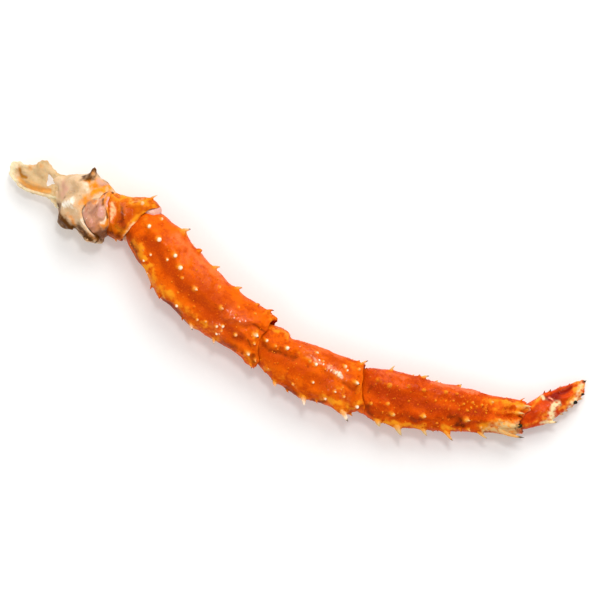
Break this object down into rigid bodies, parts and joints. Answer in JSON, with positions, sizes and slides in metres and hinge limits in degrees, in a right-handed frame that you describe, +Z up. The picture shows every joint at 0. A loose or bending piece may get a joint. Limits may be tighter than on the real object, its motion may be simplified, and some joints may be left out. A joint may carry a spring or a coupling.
{
  "type": "king crab leg",
  "caption": "Whole cooked king crab leg lying on its side: a torn shoulder flap, spiny jointed shell segments and a hooked claw, resting on small flat spots.",
  "frame": {"origin": "under the middle of the leg's outline, on the surface that it lies on", "axes": "+X from the shoulder flap to the claw, +Y towards the knees' inner side, +Z up, away from the surface that it lies on"},
  "size_m": [0.4098, 0.1034, 0.0341],
  "materials": {
    "flap_skin": "satin, translucent",
    "shoulder_shell": "wet satin",
    "joint_skin": "wet satin",
    "leg_shell": "wet gloss",
    "claw_shell": "gloss"
  },
  "bodies": {
    "root": {"shoulder_flap": "flap_skin", "coxa": "shoulder_shell", "hip_membrane": "joint_skin", "ischium": "leg_shell", "knee_membrane": "joint_skin", "merus": "leg_shell", "carpus": "leg_shell", "propodus": "leg_shell", "dactyl": "claw_shell"}
  },
  "joints": []
}
